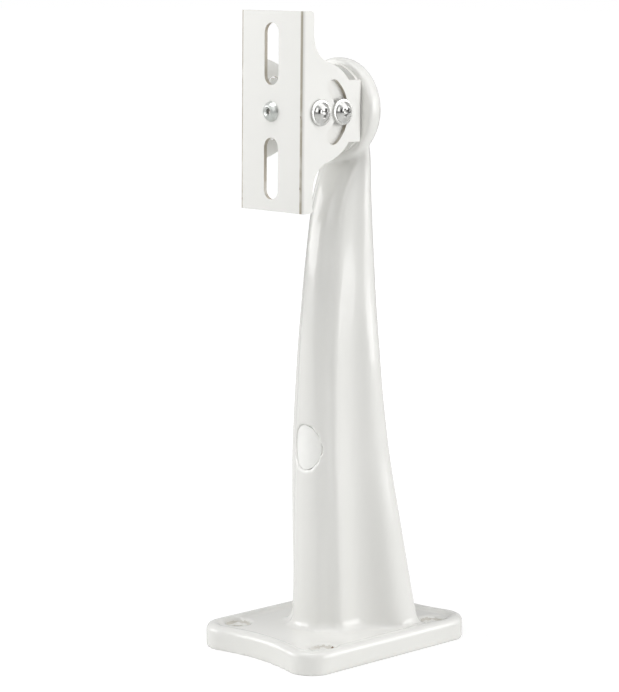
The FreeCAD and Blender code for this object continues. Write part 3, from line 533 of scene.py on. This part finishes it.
def spun(name, outline, ring=False, material=bright_zinc):
    """A closed solid of revolution about Z. A ring's outline is closed on itself."""
    points, faces, rows = [], [], []
    for radius, height in outline:
        if radius == 0:
            rows.append([len(points)] * ROUND_STEPS)
            points.append((0, 0, height * MM))
            continue
        rows.append(list(range(len(points), len(points) + ROUND_STEPS)))
        for k in range(ROUND_STEPS):
            turn = 2 * math.pi * k / ROUND_STEPS
            points.append((radius * MM * math.cos(turn), radius * MM * math.sin(turn), height * MM))
    pairs = list(zip(rows, rows[1:])) + ([(rows[-1], rows[0])] if ring else [])
    for low, high in pairs:
        for k in range(ROUND_STEPS):
            n = (k + 1) % ROUND_STEPS
            faces.append([v for i, v in enumerate((low[k], low[n], high[n], high[k]))
                          if v not in (low[k], low[n], high[n], high[k])[:i]])
    mesh = bpy.data.meshes.new(name)
    mesh.from_pydata(points, [], faces)
    shape = bmesh.new()
    shape.from_mesh(mesh)
    bmesh.ops.recalc_face_normals(shape, faces=shape.faces)
    shape.to_mesh(mesh)
    shape.free()
    mesh.materials.append(material)
    return add_object(name, mesh)


def arc(centre, radius, start, end, steps):
    """Points of an arc in an outline, from one angle to another in degrees."""
    turns = [math.radians(start + (end - start) * k / steps) for k in range(steps + 1)]
    return [(centre[0] + radius * math.cos(t), centre[1] + radius * math.sin(t)) for t in turns]


def thread(radius, depth, pitch, low, high):
    """Ridges of a screw thread along an outline, from a low to a high place."""
    count = int((high - low) / pitch)
    ridges = []
    for k in range(count):
        at = low + k * pitch
        ridges += [(radius - depth, at), (radius, at + pitch * 0.4), (radius, at + pitch * 0.6)]
    return ridges + [(radius - depth, low + count * pitch)]


print("outline helpers ready")

# %% [markdown]
# Cross recesses. The driver's cross is two tapered bars that meet in the middle, a little wider at
# the mouth than at the bottom. They are cut out of the dome with a boolean, as the punch does on
# the real screw, and then the mouth gets a hairline radius so that it shines.

# %% Cutting a cross
BOTTOM_SHARE, MOUTH_SHARE, PAST_MOUTH = 0.45, 1.06, 0.2
MOUTH_ROUND = 0.06


def tapered_bar(length, width, depth, top):
    """A bar that reaches down from a height, narrower at its bottom."""
    corners = []
    for share, z in ((BOTTOM_SHARE, top - depth), (MOUTH_SHARE, top + PAST_MOUTH)):
        for x, y in ((-1, -1), (1, -1), (1, 1), (-1, 1)):
            corners.append((x * length / 2 * share * MM, y * width / 2 * (0.7 + 0.3 * share) * MM, z * MM))
    faces = [(3, 2, 1, 0), (4, 5, 6, 7), (0, 1, 5, 4), (1, 2, 6, 5), (2, 3, 7, 6), (3, 0, 4, 7)]
    mesh = bpy.data.meshes.new("bar")
    mesh.from_pydata(corners, [], faces)
    return mesh


def cut_cross(piece, length, width, depth, top):
    tools = []
    for turn in (0, 90):
        bar = add_object("cross_bar", tapered_bar(length, width, depth, top))
        bar.data.transform(Matrix.Rotation(math.radians(turn), 4, "Z"))
        # The recess faces take the darker recess material: painted shade.
        bar.data.materials.append(recess_zinc_shade)
        cutter = piece.modifiers.new("cross", "BOOLEAN")
        cutter.operation = "DIFFERENCE"
        cutter.solver = "EXACT"
        cutter.material_mode = "TRANSFER"
        cutter.object = bar
        tools.append(bar)
    edge = piece.modifiers.new("mouth", "BEVEL")
    edge.width = MOUTH_ROUND * MM
    edge.segments = 1
    edge.limit_method = "ANGLE"
    edge.angle_limit = math.radians(40)
    baked(piece)
    for bar in tools:
        bpy.data.objects.remove(bar)
    smooth_by_angle(piece, 35)


# Screw: sizes in millimetres, local Z pointing out of the flange, 0 at the underside of the head.
HEAD_R, HEAD_H, SHANK_R, SHANK_END = 4.1, 2.2, 1.95, -7.9
DOME_R = 5.2
dome = arc((0, HEAD_H - DOME_R), DOME_R, 40, 86, 8)
screw = spun("screw", [(0, SHANK_END), (SHANK_R - 0.5, SHANK_END)]
             + thread(SHANK_R, 0.22, 0.7, SHANK_END + 0.3, -0.9)
             + [(SHANK_R, -0.5), (SHANK_R, 0), (HEAD_R - 0.12, 0), (HEAD_R, 0.12), (HEAD_R, 0.3)]
             + dome + [(0, HEAD_H)])
cut_cross(screw, 4.8, 1.3, 1.3, HEAD_H)
print("screw faces", len(screw.data.polygons))

# Washer: a stamped ring, its upper edge rolled over by the punch.
WASHER_R, WASHER_HOLE, WASHER_T = 5.0, 2.15, 0.9
washer = spun("washer", [(WASHER_HOLE, 0.1), (WASHER_HOLE + 0.1, 0), (WASHER_R - 0.08, 0), (WASHER_R, 0.08)]
              + arc((WASHER_R - 0.3, WASHER_T - 0.3), 0.3, 0, 90, 4)
              + [(WASHER_HOLE + 0.15, WASHER_T), (WASHER_HOLE, WASHER_T - 0.15)], ring=True)
smooth_by_angle(washer, 35)

# %% [markdown]
# Nuts. A hexagon nut is a bar of six flats whose corners are turned off by a cone at both ends.
# So the flats are intersected with a spun body: where the two meet, the curved lines appear that
# every nut shows.

# %% Hexagon nuts
def hexagon_nut(name, flats, height, bore):
    corner = flats / 2 / math.cos(math.radians(30))
    chamfer = corner - flats / 2
    inner, face, outer, cone = bore + 0.25, flats / 2 - 0.1, corner + 0.05, chamfer * 0.75
    nut = spun(name, [(inner, 0), (face, 0), (outer, cone), (outer, height - cone), (face, height),
                      (inner, height)]
               + thread(bore + 0.22, 0.22, 0.7, 0.3, height - 0.3)[::-1], ring=True)
    prism_mesh = bpy.data.meshes.new("prism")
    shape = bmesh.new()
    bmesh.ops.create_cone(shape, cap_ends=True, segments=6, radius1=corner * MM, radius2=corner * MM,
                          depth=(height + 2) * MM)
    bmesh.ops.translate(shape, verts=shape.verts, vec=(0, 0, height / 2 * MM))
    shape.to_mesh(prism_mesh)
    shape.free()
    prism = add_object("prism", prism_mesh)
    six = nut.modifiers.new("six_flats", "BOOLEAN")
    six.operation = "INTERSECT"
    six.solver = "EXACT"
    six.object = prism
    baked(nut)
    bpy.data.objects.remove(prism)
    smooth_by_angle(nut, 30)
    return nut


small_nut = hexagon_nut("small_nut", 7.0, 3.2, 1.95)
print("nut faces", len(small_nut.data.polygons))

# %% [markdown]
# The same piece in four places. Each ear carries a pivot screw and, behind it, the clamp screw in
# the curved slot, both with a washer outside and a nut inside. Geometry Nodes set one piece on
# all four points: a short line of two points on each side, the piece turned outward, and each
# turned a bit further about its own axis, as screws stand after tightening. Realize Instances
# makes real faces of the copies.

# %% Geometry Nodes for the four places
SPACING = 11.45 * MM


def four_places_tree():
    tree = bpy.data.node_groups.new("four_places", "GeometryNodeTree")
    tree.is_modifier = True
    sockets = {}
    for label, kind in (("Piece", "NodeSocketObject"), ("Seat", "NodeSocketFloat"),
                        ("Pivot", "NodeSocketVector"), ("Spacing", "NodeSocketFloat"),
                        ("Loosest Turn", "NodeSocketFloat"), ("Seed", "NodeSocketInt")):
        sockets[label] = tree.interface.new_socket(label, in_out="INPUT", socket_type=kind).identifier
    tree.interface.new_socket("Geometry", in_out="OUTPUT", socket_type="NodeSocketGeometry")
    start = tree.nodes.new("NodeGroupInput").outputs
    piece = add_node(tree, "GeometryNodeObjectInfo", Object=start["Piece"], As_Instance=True)
    step = add_node(tree, "ShaderNodeCombineXYZ", Y=start["Spacing"])
    joined = tree.nodes.new("GeometryNodeJoinGeometry")
    for sign in (1, -1):
        reach = add_node(tree, "ShaderNodeMath", operation="MULTIPLY", in0=start["Seat"], in1=float(sign))
        out = add_node(tree, "ShaderNodeCombineXYZ", X=reach.outputs[0])
        first = add_node(tree, "ShaderNodeVectorMath", operation="ADD", in0=start["Pivot"],
                         in1=out.outputs[0])
        line = add_node(tree, "GeometryNodeMeshLine", Count=2, Start_Location=first.outputs[0],
                        Offset=step.outputs[0])
        copies = add_node(tree, "GeometryNodeInstanceOnPoints", Points=line.outputs[0],
                          Instance=piece.outputs["Geometry"], Rotation=(0, math.radians(90 * sign), 0))
        chance = tree.nodes.new("FunctionNodeRandomValue")
        chance.data_type = "FLOAT"
        link(tree, start["Loosest Turn"], chance.inputs[3])
        link(tree, start["Seed"], chance.inputs["Seed"])
        own = add_node(tree, "ShaderNodeCombineXYZ", Z=chance.outputs[1])
        turned = add_node(tree, "GeometryNodeRotateInstances", Instances=copies.outputs[0],
                          Rotation=own.outputs[0], Local_Space=True)
        link(tree, turned.outputs[0], joined.inputs[0])
    real = add_node(tree, "GeometryNodeRealizeInstances", Geometry=joined.outputs[0])
    end = tree.nodes.new("NodeGroupOutput")
    link(tree, real.outputs[0], end.inputs[0])
    return tree, sockets


places, place_inputs = four_places_tree()


def on_both_ears(name, piece, seat, loosest, seed, nodes, slot="bright_zinc"):
    """One mesh with a piece on all four places, riding on the yoke."""
    holder = add_object(name, bpy.data.meshes.new(name))
    modifier = holder.modifiers.new("four_places", "NODES")
    modifier.node_group = places
    values = {"Piece": piece, "Seat": seat * MM, "Pivot": PIVOT, "Spacing": SPACING,
              "Loosest Turn": loosest, "Seed": seed}
    for label, value in values.items():
        modifier[place_inputs[label]] = value
    baked(holder)
    bpy.data.objects.remove(piece)
    stand_for(holder, "yoke", slot, *nodes)


def fastener_nodes(kind):
    return ["%s_%s_%s" % (place, kind, side) for place in ("pivot", "clamp") for side in ("right", "left")]


on_both_ears("cross_screws", screw, 18.1, 1.5, 3, fastener_nodes("screw"))
on_both_ears("screw_washers", washer, 17.2, 0.0, 1, fastener_nodes("washer"))
on_both_ears("screw_nuts", small_nut, 11.0, 1.0, 5, fastener_nodes("nut"))

# %% [markdown]
# The pan bolt's stack. A large cross-headed bolt holds the yoke to the head, with a plain washer,
# a split spring washer and a nut in a pocket at the back. The bolt, the plain washer and the nut
# are spun along Z and then laid along Y, so their place ends up in the mesh and the object itself
# stays at the origin. The split washer is a copy of its CAD node.

# %% Pan bolt, washers and nut
HEAD_CENTRE = Vector((0, 0, 212.5)) * MM
FRONT_SEAT, BACK_SEAT = -5.0, 0.1


def lay_along_y(piece, at, outward):
    """Turn local Z to the front (-1) or the back (1) and move to a place along Y in millimetres."""
    turn = Matrix.Rotation(math.radians(-90 * outward), 4, "X")
    piece.data.transform(Matrix.Translation(HEAD_CENTRE + Vector((0, at * MM, 0))) @ turn)


bolt = spun("pan_screw", [(0, -14.2), (2.4, -14.2)] + thread(2.95, 0.3, 1.0, -13.8, -6.3)
            + [(2.95, -5.2), (2.95, 0), (5.5, 0), (5.8, 0.3), (5.8, 1.0)] + arc((2.6, 0.85), 3.05, 12, 88, 6)
            + [(0, 3.9)])
cut_cross(bolt, 6.4, 1.3, 2.0, 3.9)
lay_along_y(bolt, FRONT_SEAT, -1)
stand_for(bolt, "arm", "bright_zinc", "pan_bolt")

flat_washer = spun("pan_flat_washer", [(3.2, 0.1), (3.3, 0), (5.9, 0), (6.0, 0.1)]
                   + arc((5.75, 0.95), 0.25, 0, 90, 3) + [(3.35, 1.2), (3.2, 1.05)], ring=True)
smooth_by_angle(flat_washer, 35)
lay_along_y(flat_washer, BACK_SEAT, 1)
stand_for(flat_washer, "arm", "bright_zinc", "pan_washer")

split_washer = cad_copy("pan_spring_washer", "pan_split_washer", flat_angle=FLAT_ANGLE)
soft_edges(split_washer, WASHER_EDGE, bright_zinc)
stand_for(split_washer, "arm", "bright_zinc", "pan_spring_washer")

large_nut = hexagon_nut("pan_hexagon_nut", 10.0, 5.0, 2.95)
lay_along_y(large_nut, BACK_SEAT + 2.7, 1)
stand_for(large_nut, "arm", "bright_zinc", "pan_nut")

# %% [markdown]
# The rivet. A blind rivet is a flanged tube that its own pin upsets from behind. The pin breaks
# off in the tube, so a dull stub with a rough end sits below the rim of the bright head.

# %% Rivet and its stub
FACE_Y = -36.9
rivet = spun("plate_rivet", [(1.1, -3.3), (2.6, -3.3), (3.1, -3.0), (3.2, -2.4), (2.9, -1.7),
                             (2.4, -1.5), (2.4, 0), (3.7, 0), (3.9, 0.15)]
             + arc((0.9, -0.62), 3.0, 22, 72, 6) + [(1.35, 1.6), (1.15, 1.5), (1.1, 1.3)],
             ring=True, material=soft_metal)
smooth_by_angle(rivet, 35)
lay_along_y(rivet, FACE_Y, -1)
stand_for(rivet, "bracket", "bright_zinc", "face_rivet")

stub = spun("rivet_stub", [(0, -3.3), (0.9, -3.3), (1.08, -3.1), (1.08, 0.45), (0.95, 0.62), (0.7, 0.55),
                           (0.45, 0.68), (0.2, 0.6), (0, 0.66)], material=dull_steel)
smooth_by_angle(stub, 35)
lay_along_y(stub, FACE_Y, -1)
stand_for(stub, "bracket", "dark_steel", "rivet_mandrel")
